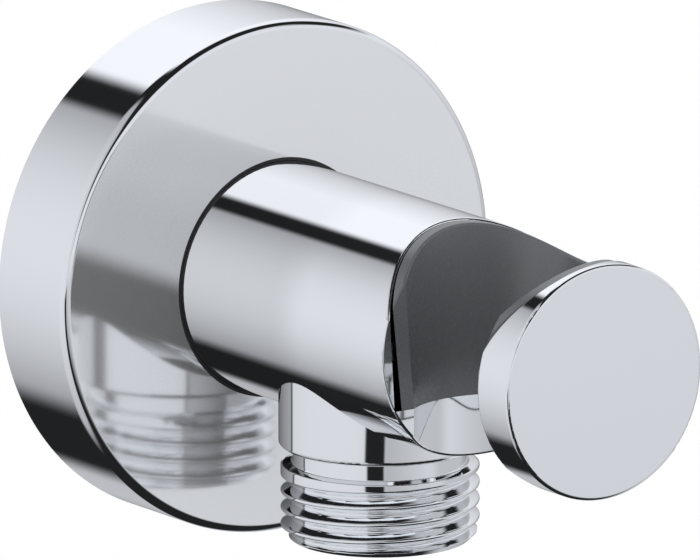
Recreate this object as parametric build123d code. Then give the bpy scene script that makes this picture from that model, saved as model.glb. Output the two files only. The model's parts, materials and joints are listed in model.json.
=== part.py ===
from build123d import *
import math
import os

# Wall outlet elbow with a hand-shower cradle, all sizes in millimetres and degrees.
# The wall is the plane Y = 0. The tube runs from the wall to the front along -Y, Z is up,
# the cradle opens to -X and the hose outlet points down. A "reach" is a distance in front
# of the wall, and a "drop" is a distance below the axis of the tube.

# Tube, from its back edge to the round front disc
tube_d = 25.0
tube_wall_gap = 2.0
front_round = 0.35
rear_chamfer = 0.5

# Cradle that the neck of the hand shower hangs in
cradle_spacing = 26.1
front_web = 1.0
recess_d = 25.2
recess_offset = 2.6
cradle_taper = 2.5
ledge_drop = 5.95
throat_d = 20.4
slot_width = 16.7
notch_round = 0.25

# Plastic liner of the cradle
liner_wall = 1.4
liner_foot_wall = 0.95
liner_foot_gap = 0.5
liner_end_setback = 0.05
liner_recess = 0.2
liner_fit = 0.12
liner_edge = 0.25
lug_width = 5.0
lug_height = 2.0
lug_depth = 0.7
lug_drop = 1.0

# Hose outlet
outlet_reach = 30.3
collar_d = 21.4
collar_drop = 14.4
collar_round = 0.5
relief_d = 18.4
relief_width = 1.4
pipe_thread_d = 20.955
thread_flank_angle = 27.5
outlet_thread_length = 8.6
thread_chamfer = 1.0

# Waterway inside the tube and the outlet
socket_d = 18.0
socket_depth = 19.5
waterway_d = 12.0
waterway_past_outlet = 6.0
valve_bore_d = 14.0
valve_shoulder_drop = 8.0
valve_shoulder_width = 1.8

# Escutcheon that covers the hole in the wall
escutcheon_d = 55.3
escutcheon_depth = 11.9
escutcheon_round = 0.95
escutcheon_wall = 1.6
escutcheon_gap = 0.4
hub_wall = 1.5
hub_length = 7.0
grip_ring_section = 2.0
grip_ring_setback = 4.0
grip_lip_recess = 0.15

# Nipple that screws into the wall and carries the tube
wall_thread_length = 12.0
spigot_fit = 0.1
nipple_bore_d = 9.6
hex_socket_step = 0.4
hex_socket_depth = 9.0
spigot_chamfer = 0.8
spigot_end_gap = 0.5
seal_section = 1.8
seal_setback = 4.8
seal_spacing = 3.6
groove_spare = 0.6
ring_ease = 0.03

# Set screw that locks the tube to the nipple
screw_d = 4.0
screw_reach = 5.4
screw_fit = 0.05
screw_recess = 0.5
screw_point = 0.7
screw_key_size = 2.0
screw_key_depth = 2.0
lock_groove_depth = 0.8
lock_groove_spare = 0.4

# Check valve cartridge in the outlet
cartridge_fit = 0.1
cartridge_end_gap = 3.0
seat_thickness = 4.0
seat_land = 1.7
cartridge_wall = 1.4
valve_ring_section = 1.3
guide_height = 1.8
guide_seat_width = 0.5
guide_rim = 0.9
guide_hub_land = 0.8
guide_leg_width = 1.2
guide_legs = 3
guide_fit = 0.05
poppet_flow_gap = 0.7
poppet_thickness = 1.6
poppet_seal_thickness = 0.9
poppet_nose_gap = 0.6
poppet_nose_past_seal = 0.3
poppet_stem_d = 2.4
stem_fit = 0.05
stem_past_guide = 0.3
spring_wire = 0.5
spring_d = 5.2
spring_pitch = 1.3

# Values that several pieces share
cut_past = 1.0
touch = 0.002
tube_r = tube_d / 2
recess_r = recess_d / 2
throat_r = throat_d / 2
thread_r = pipe_thread_d / 2
socket_r = socket_d / 2
taper_slope = math.tan(math.radians(cradle_taper))
cradle_reach = outlet_reach + cradle_spacing
reach = cradle_reach + recess_r + front_web
cradle_axis = (-recess_offset, -cradle_reach)
outlet_axis = (0, -outlet_reach)
thread_top_drop = collar_drop + relief_width
outlet_end_drop = thread_top_drop + outlet_thread_length
thread_lead = (thread_r - relief_d / 2) * math.tan(math.radians(thread_flank_angle))
socket_end_reach = tube_wall_gap + socket_depth
spigot_r = socket_r - spigot_fit
spigot_end_reach = socket_end_reach - spigot_end_gap
front_seal_reach = spigot_end_reach - seal_setback
rear_seal_reach = front_seal_reach - seal_spacing
hub_bore_r = tube_r + escutcheon_gap
valve_bore_r = valve_bore_d / 2

# Levels and radii of the check valve, with levels as heights
seat_top = -valve_shoulder_drop
seat_face = seat_top - seat_thickness
cartridge_end = -outlet_end_drop + cartridge_end_gap
guide_top = cartridge_end + guide_height
poppet_top = seat_face - poppet_seal_thickness
poppet_under = poppet_top - poppet_thickness
cartridge_r = valve_bore_r - cartridge_fit
chamber_r = cartridge_r - cartridge_wall
guide_r = chamber_r + guide_seat_width
seat_bore_r = chamber_r - seat_land
poppet_r = chamber_r - poppet_flow_gap
nose_r = seat_bore_r - poppet_nose_gap
stem_r = poppet_stem_d / 2


def turned_along_tube(profile):
    """Turned solid about the axis of the tube, from points of radius and reach."""
    outline = Polyline(*[(radius, -distance) for radius, distance in profile], close=True)
    return revolve(make_face(outline), Axis.Y)


def turned_upright(profile, axis):
    """Turned solid about an upright axis, from points of radius and height."""
    outline = Plane.XZ * Polyline(*profile, close=True)
    return Pos(*axis) * revolve(make_face(outline), Axis.Z)


def ring_along_tube(inner_r, outer_r, distance):
    """Rubber ring about the tube's axis, eased off both of its walls."""
    section = Pos((inner_r + outer_r) / 2, -distance) * Circle((outer_r - inner_r) / 2 - ring_ease)
    return revolve(section, Axis.Y)


def recess_radius(height):
    """Radius of the tapered recess at a height, which is full size at the top of the tube."""
    return recess_r + (height - tube_r) * taper_slope


def on_tube_surface(edge):
    """True for an edge that lies on the outside of the tube."""
    points = [edge @ share for share in (0.0, 0.3, 0.7, 1.0)]
    return all(abs(math.hypot(point.X, point.Z) - tube_r) < touch for point in points)


def on_notch_wall(edge):
    """True for an edge that lies on a wall of the slot, the recess or the throat."""
    middle = edge @ 0.5
    radius = math.dist((middle.X, middle.Y), cradle_axis)
    on_recess = abs(radius - recess_radius(middle.Z)) < touch
    on_throat = abs(radius - throat_r) < touch
    on_slot = abs(abs(middle.Y - cradle_axis[1]) - slot_width / 2) < touch
    return on_recess or on_throat or on_slot


def notch_solid():
    """Tool that cuts the slot, the tapered recess and the throat of the cradle."""
    side = 2 * tube_r
    slot = Pos(-side / 2 - recess_offset, -cradle_reach) * Box(side, slot_width, 2 * side)
    top = tube_r + cut_past
    recess = turned_upright(
        [(0, -ledge_drop), (recess_radius(-ledge_drop), -ledge_drop), (recess_radius(top), top), (0, top)],
        cradle_axis,
    )
    throat = Pos(*cradle_axis, -tube_r) * Cylinder(throat_r, 2 * tube_r)
    return slot + recess + throat


def lug_solid(fit):
    """Block in the back wall of the recess, where the liner's lug snaps in."""
    depth = lug_depth + fit
    start = recess_radius(-lug_drop) - liner_wall / 2
    length = recess_radius(-lug_drop) + depth - start
    block = Box(lug_width + 2 * fit, length, lug_height + 2 * fit)
    return Pos(cradle_axis[0], cradle_axis[1] + start + length / 2, -lug_drop) * block


def make_body():
    """Cast body: tube, cradle, front disc and threaded outlet, with the waterway bored in."""
    tube = turned_along_tube([(0, tube_wall_gap), (tube_r, tube_wall_gap), (tube_r, reach), (0, reach)])
    rims = tube.edges().filter_by(GeomType.CIRCLE).sort_by(Axis.Y)
    tube = fillet(rims[0], front_round)
    tube = chamfer(tube.edges().filter_by(GeomType.CIRCLE).sort_by(Axis.Y)[-1], rear_chamfer)

    collar = Pos(*outlet_axis, -collar_drop / 2) * Cylinder(collar_d / 2, collar_drop)
    collar = fillet(collar.edges().filter_by(GeomType.CIRCLE).sort_by(Axis.Z)[0], collar_round)
    stem = turned_upright(
        [
            (0, 0),
            (relief_d / 2, 0),
            (relief_d / 2, -thread_top_drop),
            (thread_r, -thread_top_drop - thread_lead),
            (thread_r, -outlet_end_drop + thread_chamfer),
            (thread_r - thread_chamfer, -outlet_end_drop),
            (0, -outlet_end_drop),
        ],
        outlet_axis,
    )
    body = tube + collar + stem

    body -= notch_solid()
    body = fillet(body.edges().filter_by(on_tube_surface).filter_by(on_notch_wall), notch_round)
    body -= lug_solid(liner_fit)

    body -= turned_along_tube(
        [
            (0, 0),
            (socket_r, 0),
            (socket_r, socket_end_reach),
            (waterway_d / 2, socket_end_reach),
            (waterway_d / 2, outlet_reach + waterway_past_outlet),
            (0, outlet_reach + waterway_past_outlet),
        ]
    )
    body -= turned_upright(
        [
            (0, 0),
            (valve_bore_r - valve_shoulder_width, 0),
            (valve_bore_r - valve_shoulder_width, seat_top),
            (valve_bore_r, seat_top),
            (valve_bore_r, -outlet_end_drop - cut_past),
            (0, -outlet_end_drop - cut_past),
        ],
        outlet_axis,
    )
    body -= Pos(0, -screw_reach, -tube_r / 2) * Cylinder(screw_d / 2, tube_r + cut_past)
    return body


def is_liner_edge(edge):
    """True for an edge of the liner that the hand shower meets as it goes in."""
    middle = edge @ 0.5
    foot = recess_radius(-ledge_drop) - liner_fit - liner_foot_gap - liner_foot_wall
    mouth = recess_r - liner_fit - liner_wall
    bore = foot + (mouth - foot) * (middle.Z + ledge_drop) / (tube_r + ledge_drop)
    beyond_bore = math.dist((middle.X, middle.Y), cradle_axis) - bore
    on_bore = abs(beyond_bore) < liner_edge / 10
    on_rim = all(
        abs(math.hypot(point.X, point.Z) - tube_r + liner_recess) < touch
        for point in (edge @ 0.0, edge @ 0.5, edge @ 1.0)
    )
    on_end = on_rim and liner_edge < beyond_bore < liner_wall - liner_edge
    return on_end or on_bore and middle.Z > liner_edge - ledge_drop


def make_cradle_liner():
    """Tapered C-shaped liner, trimmed to the tube's curve, that narrows down to the ledge."""
    bottom = -ledge_drop
    foot = recess_radius(bottom) - liner_fit - liner_foot_gap
    mouth = recess_r - liner_fit
    sleeve = turned_upright(
        [
            (foot - liner_foot_wall, bottom),
            (foot, bottom),
            (mouth, tube_r),
            (mouth - liner_wall, tube_r),
        ],
        cradle_axis,
    )
    sleeve += lug_solid(0)
    rim_r = tube_r - liner_recess
    sleeve &= turned_along_tube([(0, 0), (rim_r, 0), (rim_r, reach), (0, reach)])
    side = 2 * tube_r
    opening = Box(side, slot_width + 2 * liner_end_setback, 2 * side)
    sleeve -= Pos(-side / 2 - recess_offset, -cradle_reach) * opening
    inner_edges = [edge for edge in sleeve.edges() if is_liner_edge(edge)]
    return fillet(inner_edges, liner_edge)


def make_escutcheon():
    """Open-backed round cover with a hub that grips the tube through a rubber ring."""
    radius = escutcheon_d / 2
    inside = escutcheon_depth - escutcheon_wall
    hub_r = tube_r + grip_ring_section + hub_wall
    cover = turned_along_tube(
        [
            (hub_bore_r, escutcheon_depth),
            (radius, escutcheon_depth),
            (radius, 0),
            (radius - escutcheon_wall, 0),
            (radius - escutcheon_wall, inside),
            (hub_r, inside),
            (hub_r, escutcheon_depth - hub_length),
            (hub_bore_r, escutcheon_depth - hub_length),
        ]
    )
    front_edges = cover.edges().filter_by(GeomType.CIRCLE).group_by(Axis.Y)[0].sort_by(SortBy.RADIUS)
    cover = fillet(front_edges[-1], escutcheon_round)
    groove_width = grip_ring_section + groove_spare
    middle = escutcheon_depth - grip_ring_setback
    groove_r = tube_r + grip_ring_section
    cover -= turned_along_tube(
        [
            (tube_r, middle + groove_width / 2),
            (groove_r, middle + groove_width / 2),
            (groove_r, middle - groove_width / 2),
            (tube_r, middle - groove_width / 2),
        ]
    )
    return cover


def make_escutcheon_ring():
    """Rubber ring in the hub, with a lip that closes the gap between the tube and the cover."""
    middle = escutcheon_depth - grip_ring_setback
    inner_r = tube_r + ring_ease
    outer_r = hub_bore_r - ring_ease
    lip = turned_along_tube(
        [
            (inner_r, middle),
            (outer_r, middle),
            (outer_r, escutcheon_depth - grip_lip_recess),
            (inner_r, escutcheon_depth - grip_lip_recess),
        ]
    )
    return ring_along_tube(tube_r, tube_r + grip_ring_section, middle) + lip


def make_wall_nipple():
    """Turned nipple: wall thread, sealed spigot, lock groove, bore and hexagon socket."""
    nipple = turned_along_tube(
        [
            (0, spigot_end_reach),
            (spigot_r - spigot_chamfer, spigot_end_reach),
            (spigot_r, spigot_end_reach - spigot_chamfer),
            (spigot_r, 0),
            (thread_r, 0),
            (thread_r, -wall_thread_length + thread_chamfer),
            (thread_r - thread_chamfer, -wall_thread_length),
            (0, -wall_thread_length),
        ]
    )
    seal_groove = (seal_section + groove_spare, socket_r - seal_section)
    lock_groove = (screw_d + lock_groove_spare, spigot_r - lock_groove_depth)
    grooves = [
        (screw_reach, *lock_groove),
        (rear_seal_reach, *seal_groove),
        (front_seal_reach, *seal_groove),
    ]
    for middle, width, floor_r in grooves:
        nipple -= turned_along_tube(
            [
                (floor_r, middle - width / 2),
                (floor_r, middle + width / 2),
                (socket_r, middle + width / 2),
                (socket_r, middle - width / 2),
            ]
        )
    bore_length = spigot_end_reach + wall_thread_length
    bore = Rot(90, 0, 0) * Cylinder(nipple_bore_d / 2, bore_length)
    nipple -= Pos(0, bore_length / 2 - spigot_end_reach) * bore
    key = RegularPolygon((nipple_bore_d + hex_socket_step) / 2, 6, major_radius=False)
    key_hole = extrude(Plane.XZ.offset(spigot_end_reach - hex_socket_depth) * key, hex_socket_depth)
    return nipple - key_hole


def make_set_screw():
    """Socket set screw that stands in the tube's wall, with its point in the lock groove."""
    tip = spigot_r - lock_groove_depth + screw_fit
    tail = tube_r - screw_recess
    radius = screw_d / 2 - screw_fit
    screw = turned_upright(
        [
            (0, -tip),
            (radius - screw_point, -tip),
            (radius, -tip - screw_point),
            (radius, -tail),
            (0, -tail),
        ],
        (0, -screw_reach),
    )
    key = RegularPolygon(screw_key_size / 2, 6, major_radius=False)
    return screw - Pos(0, -screw_reach, -tail) * extrude(key, screw_key_depth)


def make_valve_housing():
    """Cartridge of the check valve: seat at the top, chamber below, groove for its ring."""
    housing = turned_upright(
        [
            (seat_bore_r, seat_top),
            (cartridge_r, seat_top),
            (cartridge_r, cartridge_end),
            (guide_r, cartridge_end),
            (guide_r, guide_top),
            (chamber_r, guide_top),
            (chamber_r, seat_face),
            (seat_bore_r, seat_face),
        ],
        outlet_axis,
    )
    middle = (seat_top + seat_face) / 2
    half = (valve_ring_section + groove_spare) / 2
    groove_r = valve_bore_r - valve_ring_section
    groove = turned_upright(
        [
            (groove_r, middle - half),
            (valve_bore_r, middle - half),
            (valve_bore_r, middle + half),
            (groove_r, middle + half),
        ],
        outlet_axis,
    )
    return housing - groove


def make_valve_ring():
    """Rubber ring between the cartridge and the bore of the outlet."""
    half = valve_ring_section / 2
    middle = (seat_top + seat_face) / 2
    section = Plane.XZ * Pos(valve_bore_r - half, middle) * Circle(half - ring_ease)
    return Pos(*outlet_axis) * revolve(section, Axis.Z)


def make_valve_guide():
    """Spider that closes the cartridge and guides the stem of the poppet."""
    rim_r = guide_r - guide_fit
    middle = (guide_top + cartridge_end) / 2
    rim = Cylinder(rim_r, guide_height) - Cylinder(rim_r - guide_rim, guide_height)
    guide = rim + Cylinder(spring_d / 2 + guide_hub_land, guide_height)
    leg_length = rim_r - guide_rim / 2
    leg = Pos(leg_length / 2) * Box(leg_length, guide_leg_width, guide_height)
    for index in range(guide_legs):
        guide += Rot(0, 0, index * 360 / guide_legs) * leg
    guide -= Cylinder(stem_r + stem_fit, guide_height)
    return Pos(*outlet_axis, middle) * guide


def make_valve_poppet():
    """Poppet with a nose inside its seal, a disc, and a stem that runs in the guide."""
    nose_top = seat_face + poppet_nose_past_seal
    stem_end = cartridge_end - stem_past_guide
    return turned_upright(
        [
            (0, nose_top),
            (nose_r, nose_top),
            (nose_r, poppet_top),
            (poppet_r, poppet_top),
            (poppet_r, poppet_under),
            (stem_r, poppet_under),
            (stem_r, stem_end),
            (0, stem_end),
        ],
        outlet_axis,
    )


def make_poppet_seal():
    """Flat rubber ring on the poppet that closes against the seat."""
    return turned_upright(
        [
            (nose_r, poppet_top),
            (poppet_r, poppet_top),
            (poppet_r, seat_face),
            (nose_r, seat_face),
        ],
        outlet_axis,
    )


def make_valve_spring():
    """Compression spring that stands on the guide and lifts the poppet."""
    inset = spring_wire / 2 + ring_ease
    path = Helix(spring_pitch, poppet_under - guide_top - 2 * inset, (spring_d - spring_wire) / 2)
    wire = sweep(Plane(path @ 0, z_dir=path % 0) * Circle(spring_wire / 2), path, is_frenet=True)
    return Pos(*outlet_axis, guide_top + inset) * wire


pieces = {
    "body": make_body(),
    "cradle_liner": make_cradle_liner(),
    "escutcheon": make_escutcheon(),
    "escutcheon_ring": make_escutcheon_ring(),
    "wall_nipple": make_wall_nipple(),
    "rear_nipple_ring": ring_along_tube(socket_r - seal_section, socket_r, rear_seal_reach),
    "front_nipple_ring": ring_along_tube(socket_r - seal_section, socket_r, front_seal_reach),
    "set_screw": make_set_screw(),
    "valve_housing": make_valve_housing(),
    "valve_ring": make_valve_ring(),
    "valve_guide": make_valve_guide(),
    "valve_poppet": make_valve_poppet(),
    "poppet_seal": make_poppet_seal(),
    "valve_spring": make_valve_spring(),
}

os.makedirs("parts", exist_ok=True)
for name, piece in pieces.items():
    export_step(piece, f"parts/{name}.step")
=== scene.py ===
"""Looks of the wall outlet elbow: finishes, cut threads, studio and camera, in metres."""

import json
import math
from collections import namedtuple

import bpy
import numpy as np
from mathutils import Matrix, Vector


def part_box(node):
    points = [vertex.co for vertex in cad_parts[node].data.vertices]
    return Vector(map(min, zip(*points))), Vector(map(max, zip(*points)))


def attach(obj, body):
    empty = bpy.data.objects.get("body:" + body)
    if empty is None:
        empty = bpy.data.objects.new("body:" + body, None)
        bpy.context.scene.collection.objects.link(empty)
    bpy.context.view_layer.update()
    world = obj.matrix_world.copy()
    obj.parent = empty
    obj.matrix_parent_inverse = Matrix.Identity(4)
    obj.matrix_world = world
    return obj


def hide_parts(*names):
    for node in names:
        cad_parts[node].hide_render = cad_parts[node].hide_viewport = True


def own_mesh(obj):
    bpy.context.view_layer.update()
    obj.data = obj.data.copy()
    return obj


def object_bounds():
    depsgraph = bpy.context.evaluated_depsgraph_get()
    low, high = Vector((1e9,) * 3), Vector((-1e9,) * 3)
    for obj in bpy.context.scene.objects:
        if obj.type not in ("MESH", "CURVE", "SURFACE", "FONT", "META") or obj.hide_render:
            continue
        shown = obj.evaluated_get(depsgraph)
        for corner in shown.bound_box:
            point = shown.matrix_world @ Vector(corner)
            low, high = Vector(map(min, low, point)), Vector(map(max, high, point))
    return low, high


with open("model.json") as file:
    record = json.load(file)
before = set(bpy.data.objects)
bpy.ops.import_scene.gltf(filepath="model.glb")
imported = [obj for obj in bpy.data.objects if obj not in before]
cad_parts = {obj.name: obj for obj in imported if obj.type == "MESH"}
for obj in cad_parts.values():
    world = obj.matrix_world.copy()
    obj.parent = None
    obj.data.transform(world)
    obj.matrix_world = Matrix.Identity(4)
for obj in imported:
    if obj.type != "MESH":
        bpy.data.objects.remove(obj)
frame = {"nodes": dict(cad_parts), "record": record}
cad_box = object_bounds()
nodes = frame["nodes"]
mounts = {mount["name"]: mount for mount in frame["record"]["mounts"]}
MM_PER_M = 1000
FULL_TURN = 360

# Camera, solved from the outlines of the photograph
PHOTO_WIDTH = 700
FOCAL_PIXELS = 20255.7
CAMERA_AZIMUTH = -35.674
CAMERA_ELEVATION = 13.378
CAMERA_DISTANCE = 2.1486
AIM_RIGHT = 0.014504
AIM_UP = -0.002550
SENSOR_WIDTH = 36.0
CLIP_END = 200.0

# Floor and world
FLOOR_DROP = 3.0
FLOOR_SIDE = 120.0
FLOOR_WHITE = (1.0, 1.0, 1.0, 1)
FLOOR_ROUGHNESS = 0.9
WORLD_WHITE = (1.0, 1.0, 1.0, 1)
WORLD_STRENGTH = 1.0

# Studio sphere that the polished metal mirrors, with a layer of light for each number of bounces
STUDIO_RADIUS = 1.0
STUDIO_COLUMNS = 360
STUDIO_ROWS = 180
STUDIO_LAYERS = ("light_once", "light_twice", "light_deep")
STUDIO_LEVEL = 0.77
STUDIO_TINT = (0.983, 1.0, 1.046, 1)
DARK_LIGHT = 0.022

# The panels' edges are pairs of values between which the light changes. They are degrees round the tube's
# axis from the right over the top, round the vertical from the wall, or above or below the horizon.
# Edges named X, Y, Z, DROP or SPREAD are parts of a unit direction: SPREAD is away from the tube's axis.
# For the right panel, angles past the break count as below zero.
TURN_BREAK = 200
LEFT_SIDE = (104, 268)

# Left panel, brightest at its middle
LEFT_LIGHT = 1.05
LEFT_MIDDLE = 176
LEFT_UPPER_SPAN = 60
LEFT_UPPER_FALL = 0.46
LEFT_UPPER_POWER = 2.2
LEFT_LOWER_SPAN = 72
LEFT_LOWER_FALL = 0.6
LEFT_MOST_SPANS = 2
LEFT_TOP = 112.85
LEFT_TOP_BLUR = 3
LEFT_TOP_LIFT = 8
LEFT_TOP_Y = (0.2, 0.6)
LEFT_END = 248
LEFT_END_BLUR = 7
LEFT_END_CUT = 7
LEFT_END_Y = 0.75
LEFT_END_Y_SPAN = 0.2
LEFT_FAR_DIM = 0.15
LEFT_FAR = (115, 148)

# Right panel, brighter towards the top
RIGHT_LIGHT = 0.43
TOP_LIGHT = 1.34
RISE_START = -7
RISE_SPAN = 65
RISE_POWER = 0.7
RIGHT_SIDE_GAIN = 0.3
RIGHT_SIDE = (60, 90)
RIGHT_LOW_GAIN = 0.6
RIGHT_LOW = (25, 50)
RIGHT_END = -70
RIGHT_END_SLOPE = 23
RIGHT_END_Y = 0.8
RIGHT_END_BLUR = 8
RIGHT_TOP = (91.85, 99.85)
TOP_START = (25, 34)
TOP_END_Y = 0.22
TOP_END_CUT = 0.27
TOP_END_TURN = (28, 48)
TOP_END_BLUR = 0.08

# Front panel, with a slanting upper edge and a bright horizon
FRONT_LIGHT = 0.8
FRONT_SLOPE = 0.3
FRONT_LIMITS = (0.6, 0.95)
FRONT_LOW = (-33, -12)
FRONT_SIDE = (128, 146)
FRONT_FAR_SIDE = (205, 215)
FRONT_TIP = 212
FRONT_TIP_SPAN = 52
FRONT_TOP = 1
FRONT_TOP_RISE = 5
FRONT_TOP_BULGE = 28
FRONT_TOP_POWER = 1.25
FRONT_TOP_BLUR = 4
HORIZON_LIGHT = 1.06
HORIZON = (-13, -2)

# Dark gap low at the left
GAP_START = (189, 194)
AGAIN_GAP_START = (181, 207)
GAP_END = (268, 278)
GAP_SPREAD = (0.54, 0.575)
GAP_Y = (0.563, 0.603)

# Light after two bounces and more
AGAIN_LIGHT = 0.8
AGAIN_LOW = (-34, -22)
AGAIN_TOP_LIGHT = 1.2
OVERHEAD_RISE = (38, 46)
OVERHEAD_FALL = (60, 68)
AGAIN_FLOOR = -34
AGAIN_FLOOR_LIFT = 16
AGAIN_FLOOR_BLUR = 5
AGAIN_FLOOR_Y = (0.2, 0.4)
AGAIN_FLOOR_X = (0.3, 0.5)
LOW_FRONT_RISE = (95, 110)
LOW_FRONT_FALL = (172, 186)
LOW_FRONT_TOP = (30, 34)
LOW_FRONT_END = (46, 52)
DEEP_LIGHT = 1.45
LEVEL_RISE = (-13, -9)
LEVEL_FALL = (5, 9)

# Dim patch straight behind, in the cover's place, and the dark seam at its left edge
BACK_LIGHT = 0.33
BACK_SLOPE = 0.47
BACK_SPREAD = 0.47
BACK_BLUR = 0.04
BACK_BULGE = 0.09
BACK_BULGE_X = (0, 0.3)
BACK_BULGE_DROP = (0.13, 0.18)
BACK_BULGE_Z = (-0.33, -0.28)
BACK_Y = (0, 0.2)
SEAM_DEPTH = 0.75
SEAM_RISE = (0.435, 0.465)
SEAM_FALL = (0.495, 0.51)
SEAM_X = (0.2, 0.3)

# Pipe thread, rounded at crest and root
PITCH = 0.001814
FLANK_ANGLE = math.radians(27.5)
THREAD_ROUND = 0.1373 * PITCH
THREAD_DEPTH = 0.6403 * PITCH
THREAD_COLUMNS = 240
ROWS_PER_TURN = 22

# Small lengths: between points that are one, between middles that agree, for a slope, and at a thread's ends
MERGE_STEP = 1e-7
SEAM_STEP = 2e-7
THREAD_STEP = 2e-6
THREAD_EASE = 1e-5
CHORD_EASE = 4e-5
THREAD_INSET = 5e-5

# Share of its facing along the axis from which a triangle is a level one, which a thread leaves alone
LEVEL_FACING = 0.95

# Where the two threads run: distance and radius at each end, and the first crest's distance and angle
OUTLET_START = (0.0158, 0.0092)
OUTLET_END = (0.0244, 0.0094775)
OUTLET_CREST = (0.01664, math.radians(35.67))
WALL_START = (0.0, 0.0104775)
WALL_END = (0.012, 0.0094775)
WALL_CREST = (0.0005, 0.0)

# Shoulder that leads up to the first crest, over shares of a turn, and the relief before it
RELIEF_MORE = 0.0004
SHOULDER_ANGLE = math.radians(13)
SHOULDER_RISE = (0, 0.03)
SHOULDER_FALL = (0.5, 0.6)

# Bends, in degrees, down to which the body's curved faces are divided, along cubic curves whose middle
# lies off the straight side by this share of the lean of the normals at its ends
SMOOTH_BENDS = (12, 8, 5)
CUBIC_MIDDLE = 1 / 8

# Spring of the check valve, as in the CAD source
SPRING_WIRE = 0.0005
SPRING_PITCH = 0.0013
STEPS_PER_COIL = 64
WIRE_SIDES = 16

# Escutcheon, as turned in the CAD source; the groove is two distances behind the face and a radius
COVER_ROUND = 0.00095
COVER_BORE = 0.0129
COVER_WALL = 0.0016
HUB_RADIUS = 0.016
HUB_LENGTH = 0.007
RING_GROOVE = (0.0027, 0.0053, 0.0145)
COVER_COLUMNS = 480
COVER_ROUND_ROWS = 15
COVER_FACE_ROWS = 6

# Pieces inside the cover, which nothing mirrors
BEHIND_COVER = ("rear_nipple_ring", "front_nipple_ring", "set_screw")

# Chrome: linear colour, grains to the metre, relief in metres, and low and high roughness
CHROME = (0.862, 0.873, 0.888, 1)
CHROME_GRAIN = 180
CHROME_ROUGH = (0.035, 0.06)
BUFFING_GRAIN = 260
BUFFING_DETAIL = 2.0
BUFFING_RELIEF = 2e-7
NOISE_DETAIL = 3.0

# Haze on the cover's flat front, which the normal's Y tells from the rim
HAZE_ROUGH = (0.075, 0.1)
HAZE_METALLIC = 0.82
FLAT_FACING = (-0.995, -0.9995)

# Soft shade on the tube: its reach in front of the wall, from full to none, and less of it on top
SHADED_CHROME = (0.716, 0.725, 0.737, 1)
SHADE_REACH = (0.0275, 0.0345)
SHADE_RADIUS = 0.01255
SHADE_FADE = (0.006, 0.0105)
SHADE_ON_TOP = 0.5

# Moulded plastics: linear colour, low and high roughness, grains to the metre and relief in metres
Plastic = namedtuple("Plastic", "colour rough grain relief")
LINER = Plastic(colour=(0.084, 0.090, 0.096, 1), rough=(0.25, 0.29), grain=9000, relief=1.5e-6)
RUBBER = Plastic(colour=(0.018, 0.018, 0.020, 1), rough=(0.5, 0.65), grain=6000, relief=3e-6)
ACETAL = Plastic(colour=(0.78, 0.79, 0.78, 1), rough=(0.3, 0.4), grain=4000, relief=2e-6)
BLUE_ACETAL = Plastic(colour=(0.10, 0.22, 0.45, 1), rough=(0.3, 0.4), grain=4000, relief=2e-6)
GRAINS_PER_PATCH = 4
# Painted light on the liner: a paler colour towards the top, and the span of heights over which it comes in
LINER_PAINTED_LIGHT = (0.130, 0.137, 0.146, 1)
LINER_PAINTED_LIGHT_Z = (-0.002, 0.014)
LINER_IOR = 1.68

# Turned metals: linear colour, axis of the tool marks, low and high roughness and width of a mark
TurnedMetal = namedtuple("TurnedMetal", "colour axis rough mark")
BRASS = TurnedMetal(colour=(0.72, 0.53, 0.25, 1), axis="Y", rough=(0.22, 0.34), mark=0.00025)
SCREW_STEEL = TurnedMetal(colour=(0.52, 0.52, 0.53, 1), axis="Z", rough=(0.3, 0.42), mark=0.0002)
SPRING_STEEL = TurnedMetal(colour=(0.60, 0.60, 0.62, 1), axis="Z", rough=(0.2, 0.3), mark=0.0001)
TURNED_GRAIN = 700
MARKS_PER_BAND = 2
MARK_FLATNESS = 40
MARK_DISTORTION = 2.0


def soft_step(value, low, high):
    """Smooth rise from 0 at low to 1 at high."""
    share = np.clip((value - low) / (high - low), 0, 1)
    return share * share * (3 - 2 * share)


def soft_edge(value, middle, blur):
    """Smooth rise from 0 to 1 across an edge, from a blur before it to a blur after it."""
    return soft_step(value, middle - blur, middle + blur)


def soft_band(value, rise, fall):
    """Smooth rise from 0 to 1 over one pair of values, and fall back to 0 over another."""
    return soft_step(value, *rise) * (1 - soft_step(value, *fall))


class Directions:
    """Unit directions, with the angles in degrees that the studio's panels are set by."""

    def __init__(self, direction):
        self.x, self.y, self.z = direction.T
        self.azimuth = np.degrees(np.arctan2(self.x, self.y))
        self.ahead = self.azimuth % FULL_TURN
        self.height = np.degrees(np.arcsin(np.clip(self.z, -1, 1)))
        self.around = np.degrees(np.arctan2(self.z, self.x)) % FULL_TURN
        self.turn = np.where(self.around > TURN_BREAK, self.around - FULL_TURN, self.around)
        self.spread = np.hypot(self.x, self.z)


def left_panel(to):
    """Light of the left panel."""
    upper = np.clip((LEFT_MIDDLE - to.around) / LEFT_UPPER_SPAN, 0, LEFT_MOST_SPANS)
    lower = np.clip((to.around - LEFT_MIDDLE) / LEFT_LOWER_SPAN, 0, LEFT_MOST_SPANS)
    light = LEFT_LIGHT * (1 - LEFT_UPPER_FALL * upper ** LEFT_UPPER_POWER - LEFT_LOWER_FALL * lower ** 2)
    top = LEFT_TOP + LEFT_TOP_LIFT * soft_step(-to.y, *LEFT_TOP_Y)
    end = LEFT_END - LEFT_END_CUT * soft_step(LEFT_END_Y - to.y, 0, LEFT_END_Y_SPAN)
    light *= soft_edge(to.around, top, LEFT_TOP_BLUR)
    light *= 1 - soft_edge(to.around, end, LEFT_END_BLUR)
    light *= 1 - LEFT_FAR_DIM * soft_step(-to.azimuth, *LEFT_FAR)
    return light


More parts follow.
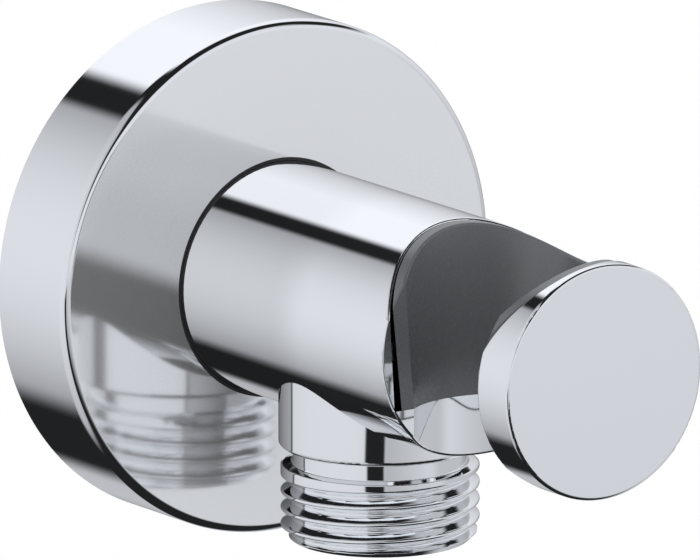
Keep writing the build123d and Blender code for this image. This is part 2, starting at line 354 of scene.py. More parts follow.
def right_panel(to):
    """Light of the right panel."""
    rise = np.clip((to.turn - RISE_START) / RISE_SPAN, 0, 1) ** RISE_POWER
    light = RIGHT_LIGHT + (TOP_LIGHT - RIGHT_LIGHT) * rise
    light += RIGHT_SIDE_GAIN * (1 - rise) * soft_step(to.azimuth, *RIGHT_SIDE)
    light *= 1 + RIGHT_LOW_GAIN * soft_step(-to.turn, *RIGHT_LOW)
    end = RIGHT_END_SLOPE * (RIGHT_END_Y - to.y) + RIGHT_END
    light *= soft_edge(to.turn, end, RIGHT_END_BLUR) * (1 - soft_step(to.turn, *RIGHT_TOP))
    top_end = TOP_END_Y - TOP_END_CUT * soft_step(to.turn, *TOP_END_TURN)
    light *= 1 - soft_step(to.turn, *TOP_START) * (1 - soft_edge(to.y, top_end, TOP_END_BLUR))
    return light


def front_panel(to):
    """Light of the front panel, and its share in each direction."""
    tip = np.clip((FRONT_TIP - to.ahead) / FRONT_TIP_SPAN, 0, 1)
    top = FRONT_TOP + FRONT_TOP_RISE * tip + FRONT_TOP_BULGE * (1 - (1 - tip) ** FRONT_TOP_POWER)
    light = np.clip(FRONT_LIGHT + FRONT_SLOPE * to.x, *FRONT_LIMITS)
    light += (HORIZON_LIGHT - light) * soft_step(to.height, *HORIZON)
    light *= soft_step(to.height, *FRONT_LOW) * (1 - soft_edge(to.height, top, FRONT_TOP_BLUR))
    return light, soft_band(to.ahead, FRONT_SIDE, FRONT_FAR_SIDE)


def whole_front_panel(to):
    """Light of the front panel after two bounces, and its share in each direction."""
    return AGAIN_LIGHT * soft_step(to.height, *AGAIN_LOW), soft_step(np.abs(to.azimuth), *FRONT_SIDE)


def between_faces(to, light):
    """Light after two bounces, with a bright ring overhead, a dark floor and a patch low in front."""
    overhead = soft_band(to.height, OVERHEAD_RISE, OVERHEAD_FALL)
    light = light * (1 - overhead) + AGAIN_TOP_LIGHT * overhead
    lifted = np.maximum(soft_step(to.y, *AGAIN_FLOOR_Y), soft_step(to.x, *AGAIN_FLOOR_X))
    floor_edge = AGAIN_FLOOR + AGAIN_FLOOR_LIFT * lifted
    light *= soft_step(to.height, floor_edge - AGAIN_FLOOR_BLUR, floor_edge)
    low_front = soft_band(to.ahead, LOW_FRONT_RISE, LOW_FRONT_FALL)
    low_front *= soft_band(-to.height, LOW_FRONT_TOP, LOW_FRONT_END)
    return np.maximum(light, AGAIN_LIGHT * low_front)


def with_back(to, light):
    """Light with the dim patch straight behind and its seam."""
    edge = (BACK_SPREAD + BACK_BULGE * soft_step(to.x, *BACK_BULGE_X)
            * soft_step(-to.z, *BACK_BULGE_DROP) * soft_step(to.z, *BACK_BULGE_Z))
    back = (1 - soft_step(to.spread, edge, edge + BACK_BLUR)) * soft_step(to.y, *BACK_Y)
    light = light * (1 - back) + (BACK_LIGHT - BACK_SLOPE * to.x) * back
    seam = soft_band(to.spread, SEAM_RISE, SEAM_FALL)
    return light * (1 - SEAM_DEPTH * seam * soft_step(-to.x, *SEAM_X) * soft_step(to.y, *BACK_Y))


def studio_light(direction, bounces):
    """Brightness of the studio in each direction: soft panels with dark gaps between them.

    After two bounces between polished faces the front panel is whole, with a dark band below it.
    After three, as deep in the thread, a level strip is brighter.
    """
    to = Directions(direction)
    again = bounces > 1
    front, in_front = whole_front_panel(to) if again else front_panel(to)
    gap = soft_band(to.around, AGAIN_GAP_START if again else GAP_START, GAP_END)
    gap *= soft_step(to.spread, *GAP_SPREAD) * soft_step(-to.y, *GAP_Y)
    at_left = (to.around > LEFT_SIDE[0]) & (to.around < LEFT_SIDE[1])
    sides = np.where(at_left, left_panel(to), right_panel(to))
    light = np.clip(sides, 0, None) * (1 - in_front) + front * in_front
    light *= 1 - gap
    if again:
        light = between_faces(to, light)
    if bounces > 2:
        light += (DEEP_LIGHT - light) * soft_band(to.height, LEVEL_RISE, LEVEL_FALL)
    return STUDIO_LEVEL * (DARK_LIGHT + with_back(to, light))


def studio_mesh():
    """Sphere round the fitting, with the studio's light at each of its points."""
    across = np.linspace(0, 2 * math.pi, STUDIO_COLUMNS, endpoint=False)
    upward = np.linspace(-math.pi / 2, math.pi / 2, STUDIO_ROWS)
    turn, lift = np.meshgrid(across, upward)
    direction = np.stack([np.cos(lift) * np.cos(turn), np.cos(lift) * np.sin(turn), np.sin(lift)], -1)
    direction = direction.reshape(-1, 3)
    row, column = np.meshgrid(np.arange(STUDIO_ROWS - 1), np.arange(STUDIO_COLUMNS), indexing="ij")
    after = (column + 1) % STUDIO_COLUMNS
    here = row * STUDIO_COLUMNS
    above = here + STUDIO_COLUMNS
    faces = np.stack([here + column, here + after, above + after, above + column], -1).reshape(-1, 4)
    centre = np.array((cad_box[0] + cad_box[1]) / 2)
    mesh = bpy.data.meshes.new("studio")
    mesh.from_pydata((direction * STUDIO_RADIUS + centre).tolist(), [], faces.tolist())
    for bounces, name in enumerate(STUDIO_LAYERS, 1):
        layer = mesh.attributes.new(name, "FLOAT", "POINT")
        layer.data.foreach_set("value", studio_light(direction, bounces).astype(np.float32))
    return mesh


def studio_panels():
    """Glow of the studio, from the layer for the number of bounces that led there."""
    material = bpy.data.materials.new("studio_panels")
    material.use_nodes = True
    tree = material.node_tree
    tree.nodes.clear()
    output = tree.nodes.new("ShaderNodeOutputMaterial")
    glow = tree.nodes.new("ShaderNodeEmission")
    path = tree.nodes.new("ShaderNodeLightPath")
    painted = []
    for name in STUDIO_LAYERS:
        layer = tree.nodes.new("ShaderNodeAttribute")
        layer.attribute_name = name
        painted.append(layer.outputs["Fac"])
    seen = painted[0]
    for bounces, layer in enumerate(painted[1:], 1):
        more = combined(tree, "GREATER_THAN", path.outputs["Glossy Depth"], bounces + 0.5)
        seen = mixed(tree, more, seen, layer)
    glow.inputs["Color"].default_value = STUDIO_TINT
    tree.links.new(seen, glow.inputs["Strength"])
    tree.links.new(glow.outputs["Emission"], output.inputs["Surface"])
    material.cycles.emission_sampling = "NONE"
    return material


def make_studio():
    """Studio whose painted panels and gaps only reflections see."""
    mesh = studio_mesh()
    mesh.materials.append(studio_panels())
    studio = bpy.data.objects.new("studio", mesh)
    bpy.context.scene.collection.objects.link(studio)
    studio.visible_camera = False
    studio.visible_diffuse = False
    studio.visible_shadow = False


def make_floor_and_world():
    """Pale floor far below the fitting, and an even white world."""
    half = FLOOR_SIDE / 2
    corners = [(-half, -half, -FLOOR_DROP), (half, -half, -FLOOR_DROP),
               (half, half, -FLOOR_DROP), (-half, half, -FLOOR_DROP)]
    mesh = bpy.data.meshes.new("floor")
    mesh.from_pydata(corners, [], [(0, 1, 2, 3)])
    material, unused, shader = new_finish("floor_paint", FLOOR_WHITE)
    shader.inputs["Roughness"].default_value = FLOOR_ROUGHNESS
    mesh.materials.append(material)
    floor = bpy.data.objects.new("floor", mesh)
    bpy.context.scene.collection.objects.link(floor)

    world = bpy.data.worlds.new("white_room")
    world.use_nodes = True
    background = world.node_tree.nodes["Background"]
    background.inputs["Color"].default_value = WORLD_WHITE
    background.inputs["Strength"].default_value = WORLD_STRENGTH
    bpy.context.scene.world = world


def make_camera():
    """Camera at the photograph's viewing angle."""
    turn = math.radians(CAMERA_AZIMUTH)
    lift = math.radians(CAMERA_ELEVATION)
    towards = Vector((math.sin(turn) * math.cos(lift), -math.cos(turn) * math.cos(lift), math.sin(lift)))
    right = Vector((math.cos(turn), math.sin(turn), 0))
    up = towards.cross(right)
    data = bpy.data.cameras.new("camera")
    data.sensor_width = SENSOR_WIDTH
    data.lens = FOCAL_PIXELS * SENSOR_WIDTH / PHOTO_WIDTH
    data.clip_end = CLIP_END
    camera = bpy.data.objects.new("camera", data)
    bpy.context.scene.collection.objects.link(camera)
    place = Matrix((right, up, towards)).transposed().to_4x4()
    place.translation = towards * CAMERA_DISTANCE + right * AIM_RIGHT + up * AIM_UP
    camera.matrix_world = place
    bpy.context.scene.camera = camera


def new_finish(name, colour, metallic=0.0):
    """Material with a principled shader, and its tree and shader for more nodes."""
    material = bpy.data.materials.new(name)
    material.use_nodes = True
    tree = material.node_tree
    shader = tree.nodes["Principled BSDF"]
    shader.inputs["Base Color"].default_value = colour
    shader.inputs["Metallic"].default_value = metallic
    return material, tree, shader


def object_place(tree):
    """The object's own coordinates."""
    return tree.nodes.new("ShaderNodeTexCoord").outputs["Object"]


def separated(tree, vector):
    """A vector's X, Y and Z."""
    parts = tree.nodes.new("ShaderNodeSeparateXYZ")
    tree.links.new(vector, parts.inputs["Vector"])
    return parts.outputs


def object_noise(tree, scale, detail=NOISE_DETAIL):
    """Noise over the object's own coordinates, with so many grains to the metre."""
    noise = tree.nodes.new("ShaderNodeTexNoise")
    noise.inputs["Scale"].default_value = scale
    noise.inputs["Detail"].default_value = detail
    tree.links.new(object_place(tree), noise.inputs["Vector"])
    return noise.outputs["Fac"]


def combined(tree, operation, one, two):
    """Result of a calculation with two values, of which the second may be a number."""
    node = tree.nodes.new("ShaderNodeMath")
    node.operation = operation
    tree.links.new(one, node.inputs[0])
    if isinstance(two, float):
        node.inputs[1].default_value = two
    else:
        tree.links.new(two, node.inputs[1])
    return node.outputs["Value"]


def mixed(tree, share, one, two):
    """Value that goes from one to two as a share goes from 0 to 1."""
    mix = tree.nodes.new("ShaderNodeMix")
    tree.links.new(share, mix.inputs["Factor"])
    tree.links.new(one, mix.inputs["A"])
    tree.links.new(two, mix.inputs["B"])
    return mix.outputs["Result"]


def ranged(tree, value, low, high, start=0.0, stop=1.0, kind="LINEAR"):
    """Value from start to stop taken to the range from low to high."""
    spread = tree.nodes.new("ShaderNodeMapRange")
    spread.interpolation_type = kind
    spread.inputs["From Min"].default_value = start
    spread.inputs["From Max"].default_value = stop
    spread.inputs["To Min"].default_value = low
    spread.inputs["To Max"].default_value = high
    tree.links.new(value, spread.inputs["Value"])
    return spread.outputs["Result"]


def rough_by(tree, shader, value, rough):
    """Roughness that follows a value between two limits."""
    tree.links.new(ranged(tree, value, *rough), shader.inputs["Roughness"])


def bump_by(tree, shader, value, height):
    """Relief of so many metres that follows a value."""
    bump = tree.nodes.new("ShaderNodeBump")
    bump.inputs["Distance"].default_value = height
    tree.links.new(value, bump.inputs["Height"])
    tree.links.new(bump.outputs["Normal"], shader.inputs["Normal"])


def tint_by(tree, shader, share, plain, tinted):
    """Colour that goes from plain to tinted as a share goes from 0 to 1."""
    tint = tree.nodes.new("ShaderNodeMix")
    tint.data_type = "RGBA"
    tint.inputs["A"].default_value = plain
    tint.inputs["B"].default_value = tinted
    tree.links.new(share, tint.inputs["Factor"])
    tree.links.new(tint.outputs["Result"], shader.inputs["Base Color"])


def axis_distance(tree):
    """Distance from the tube's axis."""
    across = tree.nodes.new("ShaderNodeVectorMath")
    across.operation = "MULTIPLY"
    across.inputs[1].default_value = (1, 0, 1)
    tree.links.new(object_place(tree), across.inputs[0])
    distance = tree.nodes.new("ShaderNodeVectorMath")
    distance.operation = "LENGTH"
    tree.links.new(across.outputs["Vector"], distance.inputs[0])
    return distance.outputs["Value"]


def chrome_finish(name):
    """Polished chrome plate, with the faint unevenness of buffing, dimmer round the tube near the cover."""
    material, tree, shader = new_finish(name, CHROME, 1.0)
    rough_by(tree, shader, object_noise(tree, CHROME_GRAIN), CHROME_ROUGH)
    bump_by(tree, shader, object_noise(tree, BUFFING_GRAIN, BUFFING_DETAIL), BUFFING_RELIEF)
    place = separated(tree, object_place(tree))
    near = ranged(tree, place["Y"], 0.0, 1.0, -SHADE_REACH[1], -SHADE_REACH[0], "SMOOTHSTEP")
    on_tube = combined(tree, "LESS_THAN", axis_distance(tree), SHADE_RADIUS)
    less_on_top = ranged(tree, place["Z"], 1.0, SHADE_ON_TOP, *SHADE_FADE, "SMOOTHSTEP")
    tube = combined(tree, "MULTIPLY", near, on_tube)
    tint_by(tree, shader, combined(tree, "MULTIPLY", tube, less_on_top), CHROME, SHADED_CHROME)
    return material


def cover_finish(name):
    """Chrome plate whose flat front has a faint haze and mirrors softly, while its rim is clear."""
    material, tree, shader = new_finish(name, CHROME, 1.0)
    normal = tree.nodes.new("ShaderNodeNewGeometry").outputs["True Normal"]
    flat = ranged(tree, separated(tree, normal)["Y"], 0.0, 1.0, *FLAT_FACING)
    clear = ranged(tree, object_noise(tree, CHROME_GRAIN), *CHROME_ROUGH)
    soft = ranged(tree, object_noise(tree, CHROME_GRAIN), *HAZE_ROUGH)
    tree.links.new(mixed(tree, flat, clear, soft), shader.inputs["Roughness"])
    tree.links.new(ranged(tree, flat, 1.0, HAZE_METALLIC), shader.inputs["Metallic"])
    bump_by(tree, shader, object_noise(tree, BUFFING_GRAIN, BUFFING_DETAIL), BUFFING_RELIEF)
    return material


def plastic_finish(name, plastic):
    """Moulded plastic with a fine grain."""
    material, tree, shader = new_finish(name, plastic.colour)
    rough_by(tree, shader, object_noise(tree, plastic.grain / GRAINS_PER_PATCH), plastic.rough)
    bump_by(tree, shader, object_noise(tree, plastic.grain), plastic.relief)
    return material


def liner_finish(name):
    """Liner plastic, satin, with painted light: its colour turns paler towards the top."""
    material = plastic_finish(name, LINER)
    tree = material.node_tree
    shader = tree.nodes["Principled BSDF"]
    shader.inputs["IOR"].default_value = LINER_IOR
    # Painted light: the liner's colour turns paler towards the top
    high = ranged(tree, separated(tree, object_place(tree))["Z"], 0.0, 1.0, *LINER_PAINTED_LIGHT_Z)
    tint_by(tree, shader, high, LINER.colour, LINER_PAINTED_LIGHT)
    return material


def turned_metal_finish(name, metal):
    """Metal with fine tool marks round an axis."""
    material, tree, shader = new_finish(name, metal.colour, 1.0)
    marks = tree.nodes.new("ShaderNodeTexWave")
    marks.bands_direction = metal.axis
    marks.inputs["Scale"].default_value = 1 / metal.mark / MARKS_PER_BAND
    marks.inputs["Distortion"].default_value = MARK_DISTORTION
    tree.links.new(object_place(tree), marks.inputs["Vector"])
    rough_by(tree, shader, object_noise(tree, TURNED_GRAIN), metal.rough)
    bump_by(tree, shader, marks.outputs["Fac"], metal.mark / MARK_FLATNESS)
    return material


def ring_triangles(rings, columns):
    """Corners of the triangles between rings of points, which follow each other with so many points each."""
    row, column = np.meshgrid(np.arange(rings - 1), np.arange(columns), indexing="ij")
    after = (column + 1) % columns
    here = row * columns
    there = here + columns
    near = np.stack([here + column, here + after, there + after], -1)
    far = np.stack([here + column, there + after, there + column], -1)
    return np.concatenate([near.reshape(-1, 3), far.reshape(-1, 3)])


class Surface:
    """Triangles with a normal at each of their corners."""

    def __init__(self, points, corners, normals):
        self.points = points
        self.corners = corners
        self.normals = normals

    @classmethod
    def of_node(cls, name):
        """Copy of a CAD node's mesh, with the points that share a place made one."""
        mesh = nodes[name].data
        mesh.calc_loop_triangles()
        places = np.empty(len(mesh.vertices) * 3)
        mesh.vertices.foreach_get("co", places)
        loops = np.empty(len(mesh.loop_triangles) * 3, int)
        mesh.loop_triangles.foreach_get("loops", loops)
        owners = np.empty(len(mesh.loops), int)
        mesh.loops.foreach_get("vertex_index", owners)
        normals = np.empty(len(mesh.loops) * 3)
        mesh.corner_normals.foreach_get("vector", normals)
        surface = cls(places.reshape(-1, 3), owners[loops].reshape(-1, 3),
                      normals.reshape(-1, 3)[loops].reshape(-1, 3, 3))
        surface.merge()
        surface.keep((surface.corners != np.roll(surface.corners, 1, 1)).all(1))
        return surface

    def merge(self):
        """Makes the points that share a place one."""
        keys = np.round(self.points / MERGE_STEP).astype(np.int64)
        unused, first, number = np.unique(keys, axis=0, return_index=True, return_inverse=True)
        self.points = self.points[first]
        self.corners = number.reshape(-1)[self.corners]

    def keep(self, wanted):
        """Drops the triangles that aren't wanted."""
        self.corners = self.corners[wanted]
        self.normals = self.normals[wanted]

    def add(self, points, corners, normals):
        """Joins more triangles, whose corners count from the points given with them."""
        self.corners = np.concatenate([self.corners, corners + len(self.points)])
        self.normals = np.concatenate([self.normals, normals])
        self.points = np.concatenate([self.points, points])

    def sides(self):
        """Each triangle's three sides as pairs of points, from low to high."""
        pairs = np.stack([self.corners, np.roll(self.corners, -1, 1)], -1)
        return np.sort(pairs, -1)

    def facing(self):
        """Direction that each triangle faces, as long as twice its area."""
        corner = self.points[self.corners]
        return np.cross(corner[:, 1] - corner[:, 0], corner[:, 2] - corner[:, 0])

    def middles(self, place, count):
        """Middle of each side on the curve that its normals ask for, and if its triangles disagree on it."""
        start = self.points[self.corners]
        following = np.roll(self.normals, -1, 1)
        step = np.roll(start, -1, 1) - start
        lean = (step * self.normals).sum(-1, keepdims=True) * self.normals
        lean -= (step * following).sum(-1, keepdims=True) * following
        middle = start + step / 2 - lean * CUBIC_MIDDLE
        total = np.zeros((len(count), 3))
        square = np.zeros((len(count), 3))
        for axis in range(3):
            total[:, axis] = np.bincount(place.ravel(), middle[..., axis].ravel(), len(count))
            square[:, axis] = np.bincount(place.ravel(), middle[..., axis].ravel() ** 2, len(count))
        mean = total / count[:, None]
        uneven = np.sqrt(np.clip(square / count[:, None] - mean ** 2, 0, None).sum(1))
        return mean, uneven > SEAM_STEP

    def refine(self, bend):
        """Halves the sides along which a smooth surface turns by more than so many degrees."""
        following = np.roll(self.normals, -1, 1)
        cosine = np.clip((self.normals * following).sum(-1), -1, 1)
        curved = cosine < math.cos(math.radians(bend))
        codes = self.sides() @ np.array([len(self.points), 1])
        unique, place, count = np.unique(codes, return_inverse=True, return_counts=True)
        place = place.reshape(-1, 3)
        split = np.zeros(len(unique), bool)
        split[place[curved]] = True

        mean, uneven = self.middles(place, count)
        ends = np.stack([unique // len(self.points), unique % len(self.points)], -1)
        mean = np.where(uneven[:, None], self.points[ends].mean(1), mean)
        between = self.normals + following
        between /= np.linalg.norm(between, axis=-1, keepdims=True)

        number = np.cumsum(split) - 1 + len(self.points)
        corners, normals = [], []
        for index, triangle in enumerate(self.corners):
            marked = split[place[index]]
            count_marked = marked.sum()
            if not count_marked:
                corners.append(triangle)
                normals.append(self.normals[index])
                continue
            turn = 0
            if count_marked == 1:
                turn = int(np.argmax(marked))
            elif count_marked == 2:
                turn = (int(np.argmin(marked)) + 1) % 3
            order = [(turn + step_on) % 3 for step_on in range(3)]
            names = list(triangle[order]) + [number[place[index][side]] for side in order]
            faces = list(self.normals[index][order]) + list(between[index][order])
            if count_marked == 3:
                pieces = [(0, 3, 5), (3, 1, 4), (5, 4, 2), (3, 4, 5)]
            elif count_marked == 2:
                pieces = [(0, 3, 4), (3, 1, 4), (0, 4, 2)]
            else:
                pieces = [(0, 3, 2), (3, 1, 2)]
            for piece in pieces:
                corners.append([names[corner] for corner in piece])
                normals.append([faces[corner] for corner in piece])
        self.points = np.concatenate([self.points, mean[split]])
        self.corners = np.array(corners)
        self.normals = np.array(normals)

    def face_out(self):
        """Turns each triangle to the side that its normals point to."""
        turned_in = (self.facing() * self.normals.mean(1)).sum(1) < 0
        self.corners[turned_in] = self.corners[turned_in][:, ::-1]
        self.normals[turned_in] = self.normals[turned_in][:, ::-1]

    def rim(self):
        """Points on the open edges."""
        pairs, count = np.unique(self.sides().reshape(-1, 2), axis=0, return_counts=True)
        return np.unique(pairs[count == 1])

    def make(self, name, material, node):
        """Blender object of these triangles that stands for a CAD node."""
        used, corners = np.unique(self.corners, return_inverse=True)
        mesh = bpy.data.meshes.new(name)
        mesh.from_pydata(self.points[used].tolist(), [], corners.reshape(-1, 3).tolist())
        mesh.polygons.foreach_set("use_smooth", np.ones(len(mesh.polygons), bool))
        mesh.normals_split_custom_set(self.normals.reshape(-1, 3).tolist())
        mesh.materials.append(material)
        piece = bpy.data.objects.new(name, mesh)
        bpy.context.scene.collection.objects.link(piece)
        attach(piece, "fitting")
        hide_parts(node)
        return piece


def thread_drop(along):
    """Drop below the crest of a rounded pipe thread, by the distance from the crest's middle."""
    away = np.abs((along + PITCH / 2) % PITCH - PITCH / 2)
    rounded = THREAD_ROUND * math.cos(FLANK_ANGLE)
    near = np.minimum(away, rounded)
    far = np.minimum(PITCH / 2 - away, rounded)
    crest = THREAD_ROUND - np.sqrt(THREAD_ROUND ** 2 - near ** 2)
    root = THREAD_DEPTH - THREAD_ROUND + np.sqrt(THREAD_ROUND ** 2 - far ** 2)
    flank = THREAD_ROUND * (1 - math.sin(FLANK_ANGLE)) + (away - rounded) / math.tan(FLANK_ANGLE)
    return np.where(away < rounded, crest, np.where(PITCH / 2 - away < rounded, root, flank))


def stitch(loop, loop_angles, loop_normals, ring, ring_angles, ring_normals):
    """Triangles between a loop and a ring of points about one axis, and the normals at their corners."""
    strip, faces = [], []
    one, two = 0, 0
    while one < len(loop) or two < len(ring):
        next_one = loop_angles[(one + 1) % len(loop)] + 2 * math.pi * ((one + 1) // len(loop))
        next_two = ring_angles[(two + 1) % len(ring)] + 2 * math.pi * ((two + 1) // len(ring))
        here, there = one % len(loop), two % len(ring)
        if two >= len(ring) or one < len(loop) and next_one <= next_two:
            beyond = (one + 1) % len(loop)
            strip.append((loop[here], loop[beyond], ring[there]))
            faces.append((loop_normals[here], loop_normals[beyond], ring_normals[there]))
            one += 1
        else:
            beyond = (two + 1) % len(ring)
            strip.append((ring[there], loop[here], ring[beyond]))
            faces.append((ring_normals[there], loop_normals[here], ring_normals[beyond]))
            two += 1
    return np.array(strip), np.array(faces)


def cut_thread(surface, radius, origin, axis, start, end, crest):
    """Cuts a right-hand pipe thread between two rings, each given as its distance and radius.

    The first crest is given as its distance and angle; for half a turn a shoulder leads up to it.
    """
    axis = np.array(axis, float)
    side = np.roll(np.abs(axis), 1)
    other = np.cross(axis, side)
    origin = np.array(origin)

    def height(along, angle):
        """Radius of the threaded surface."""
        turn = (angle - crest[1]) / (2 * math.pi) % 1
        ridge = crest[0] + PITCH * turn
        helix = radius - thread_drop(along - ridge)
        helix += (radius - helix) * soft_band(turn, SHOULDER_RISE, SHOULDER_FALL) * (along < ridge)
        lead, tail = along - start[0], end[0] - along
        floor = np.maximum(start[1] - lead, end[1] - tail)
        climb = np.maximum(lead - RELIEF_MORE, 0) / math.tan(SHOULDER_ANGLE)
        roof = np.minimum(start[1] + climb, end[1] + tail)
        return np.clip(helix, floor, np.maximum(roof, floor))

    def placed(along, angle):
        """Points of the threaded surface and their normals."""
        out = np.cos(angle)[..., None] * side + np.sin(angle)[..., None] * other
        over = np.cos(angle)[..., None] * other - np.sin(angle)[..., None] * side
        level = height(along, angle)
        rise = (height(along + THREAD_STEP, angle) - height(along - THREAD_STEP, angle)) / (2 * THREAD_STEP)
        turn = (height(along, angle + THREAD_STEP) - height(along, angle - THREAD_STEP)) / (2 * THREAD_STEP)
        normal = out - rise[..., None] * axis - (turn / level)[..., None] * over
        normal /= np.linalg.norm(normal, axis=-1, keepdims=True)
        return origin + axis * along[..., None] + out * level[..., None], normal

    local = surface.points - origin
    along = local @ axis
    outward = np.hypot(local @ side, local @ other)
    lowest = min(start[1], end[1]) - CHORD_EASE
    inside = (along > start[0] - THREAD_EASE) & (along < end[0] + THREAD_EASE) & (outward > lowest)
    facing = surface.facing()
    level = np.abs(facing @ axis) > LEVEL_FACING * np.linalg.norm(facing, axis=1)
    surface.keep(~inside[surface.corners].all(1) | level)
    open_points = surface.rim()
    open_points = open_points[inside[open_points]]

    count = int(round((end[0] - start[0]) / PITCH * ROWS_PER_TURN))
    rows = np.linspace(start[0] + THREAD_INSET, end[0] - THREAD_INSET, count)
    angles = np.linspace(-math.pi, math.pi, THREAD_COLUMNS, endpoint=False)
    points, normals = placed(*np.meshgrid(rows, angles, indexing="ij"))
    points, normals = points.reshape(-1, 3), normals.reshape(-1, 3)
    corners = ring_triangles(count, THREAD_COLUMNS)
    base = len(surface.points)
    surface.add(points, corners, normals[corners])

    for ring, row in ((start[0], 0), (end[0], count - 1)):
        loop = open_points[np.abs(along[open_points] - ring) < THREAD_EASE]
        turned = np.arctan2(local[loop] @ other, local[loop] @ side)
        order = np.argsort(turned)
        loop, turned = loop[order], turned[order]
        unused, slopes = placed(np.full(len(loop), rows[row]), turned)
        last = row * THREAD_COLUMNS + np.arange(THREAD_COLUMNS)
        strip, faces = stitch(loop, turned, slopes, base + last, angles, normals[last])
        if row:
            strip, faces = strip[:, ::-1], faces[:, ::-1]
        surface.corners = np.concatenate([surface.corners, strip])
        surface.normals = np.concatenate([surface.normals, faces])


def turned_cover():
    """Escutcheon as a finely turned surface about the tube's axis."""
    low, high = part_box("escutcheon")
    radius, face, back = high.x, -low.y, -high.y
    round_radius, round_face = radius - COVER_ROUND, face - COVER_ROUND
    groove_near, groove_far, groove_radius = RING_GROOVE
    arc = [math.radians(angle) for angle in np.linspace(0, 90, COVER_ROUND_ROWS)]
    flat = [(hub, face) for hub in np.linspace(COVER_BORE, round_radius, COVER_FACE_ROWS)]
    rounding = [(round_radius + COVER_ROUND * math.sin(angle), round_face + COVER_ROUND * math.cos(angle))
                for angle in arc]
    outline = [(radius, round_face), (radius, back), (radius - COVER_WALL, back),
               (radius - COVER_WALL, face - COVER_WALL), (HUB_RADIUS, face - COVER_WALL),
               (HUB_RADIUS, face - HUB_LENGTH), (COVER_BORE, face - HUB_LENGTH),
               (COVER_BORE, face - groove_far), (groove_radius, face - groove_far),
               (groove_radius, face - groove_near), (COVER_BORE, face - groove_near), (COVER_BORE, face)]
    turn = np.linspace(0, 2 * math.pi, COVER_COLUMNS, endpoint=False)

    def swept(outward, forward):
        """Ring of points or directions about the tube's axis."""
        return np.stack([outward * np.cos(turn), 0 * turn - forward, outward * np.sin(turn)], -1)

    points, corners, normals = [], [], []
    for run in (flat, rounding, *zip(outline, outline[1:])):
        step = np.gradient(np.array(run), axis=0)
        slope = np.stack([-step[:, 1], step[:, 0]], -1) / np.linalg.norm(step, axis=1)[:, None]
        if run is rounding:
            slope = np.stack([np.sin(arc), np.cos(arc)], -1)
        corners.append(ring_triangles(len(run), COVER_COLUMNS) + len(points) * COVER_COLUMNS)
        points += [swept(*place) for place in run]
        normals += [swept(*lean) for lean in slope]
    corners = np.concatenate(corners)
    surface = Surface(np.concatenate(points), corners, np.concatenate(normals)[corners])
    surface.merge()
    surface.face_out()
    return surface


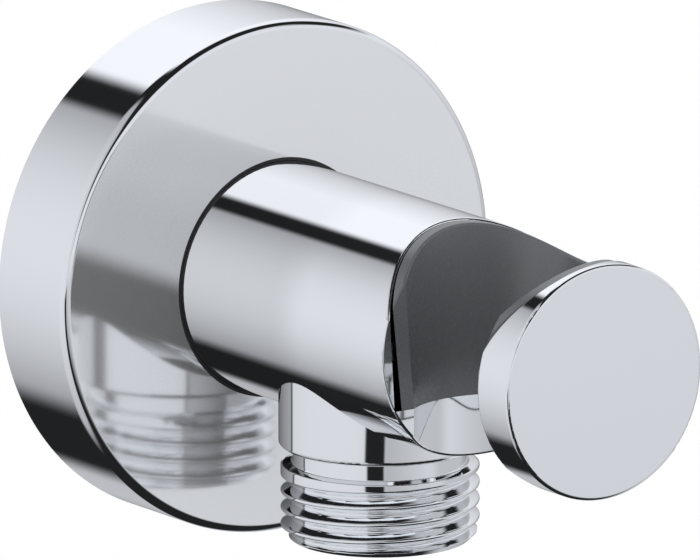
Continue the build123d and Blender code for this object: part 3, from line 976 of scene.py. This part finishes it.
def wound_spring():
    """Spring of the check valve as a smooth round wire, wound as in the CAD source."""
    low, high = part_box("valve_spring")
    half = SPRING_WIRE / 2
    coil = (high.x - low.x) / 2 - half
    lead = SPRING_PITCH / (2 * math.pi)
    last = (high.z - low.z - SPRING_WIRE) / lead
    steps = int(round(last / (2 * math.pi) * STEPS_PER_COIL))
    turn = np.linspace(0, last, steps + 1)
    out = np.stack([np.cos(turn), np.sin(turn), 0 * turn], -1)
    along = np.stack([-coil * np.sin(turn), coil * np.cos(turn), lead + 0 * turn], -1)
    along /= np.linalg.norm(along, axis=1, keepdims=True)
    side = np.cross(along, out)
    bend = np.linspace(0, 2 * math.pi, WIRE_SIDES, endpoint=False)[:, None]
    normals = np.cos(bend) * out[:, None] + np.sin(bend) * side[:, None]
    foot = np.array([*mounts["outlet_thread"]["pos_m"][:2], low.z + half])
    middle = foot + coil * out + np.outer(turn, (0, 0, lead))
    points = (middle[:, None] + half * normals).reshape(-1, 3)

    corners = ring_triangles(steps + 1, WIRE_SIDES)
    surface = Surface(points, corners, normals.reshape(-1, 3)[corners])
    ring = np.arange(WIRE_SIDES)
    cap = np.stack([0 * ring, ring + 1, (ring + 1) % WIRE_SIDES + 1], -1)
    for end, outward in ((0, -along[0]), (steps, along[-1])):
        cap_points = np.concatenate([middle[end:end + 1], points[end * WIRE_SIDES + ring]])
        surface.add(cap_points, cap, np.broadcast_to(outward, (WIRE_SIDES, 3, 3)))
    surface.merge()
    surface.face_out()
    return surface


def mount_radius(name):
    """Radius of a mount, in metres."""
    return mounts[name]["dims"]["r_mm"] / MM_PER_M


def make_body():
    """Body with smooth curves and its hose thread."""
    body = Surface.of_node("body")
    for bend in SMOOTH_BENDS:
        body.refine(bend)
    outlet = (0, mounts["outlet_thread"]["pos_m"][1], 0)
    cut_thread(body, mount_radius("outlet_thread"), outlet, (0, 0, -1),
               OUTLET_START, OUTLET_END, OUTLET_CREST)
    body.make("body_threaded", chrome_finish("polished_chrome"), "body")


def make_cover():
    """Escutcheon with a smooth mirror."""
    cover = turned_cover().make("escutcheon_turned", cover_finish("soft_chrome"), "escutcheon")
    return cover


def make_nipple():
    """Nipple with its wall thread."""
    nipple = Surface.of_node("wall_nipple")
    cut_thread(nipple, mount_radius("wall_thread"), (0, 0, 0), (0, 1, 0), WALL_START, WALL_END, WALL_CREST)
    nipple = nipple.make("wall_nipple_threaded", turned_metal_finish("turned_brass", BRASS), "wall_nipple")
    return nipple


def make_spring():
    """Spring of the check valve, wound as a smooth wire with its own mesh."""
    finish = turned_metal_finish("spring_steel", SPRING_STEEL)
    spring = wound_spring().make("valve_spring_wound", finish, "valve_spring")
    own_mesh(spring)


def dress(material, *names):
    """Gives CAD nodes a finish."""
    for name in names:
        nodes[name].data.materials.clear()
        nodes[name].data.materials.append(material)


make_body()
cover = make_cover()
nipple = make_nipple()
make_spring()
dress(liner_finish("liner_plastic"), "cradle_liner")
dress(plastic_finish("seal_rubber", RUBBER), "escutcheon_ring", "rear_nipple_ring", "front_nipple_ring",
      "valve_ring", "poppet_seal")
dress(turned_metal_finish("screw_steel", SCREW_STEEL), "set_screw")
dress(plastic_finish("valve_acetal", ACETAL), "valve_housing", "valve_guide")
dress(plastic_finish("poppet_acetal", BLUE_ACETAL), "valve_poppet")

for piece in (cover, nipple, *(nodes[name] for name in BEHIND_COVER)):
    piece.visible_glossy = False
make_studio()
make_floor_and_world()
make_camera()
bpy.context.scene.view_settings.view_transform = "Standard"
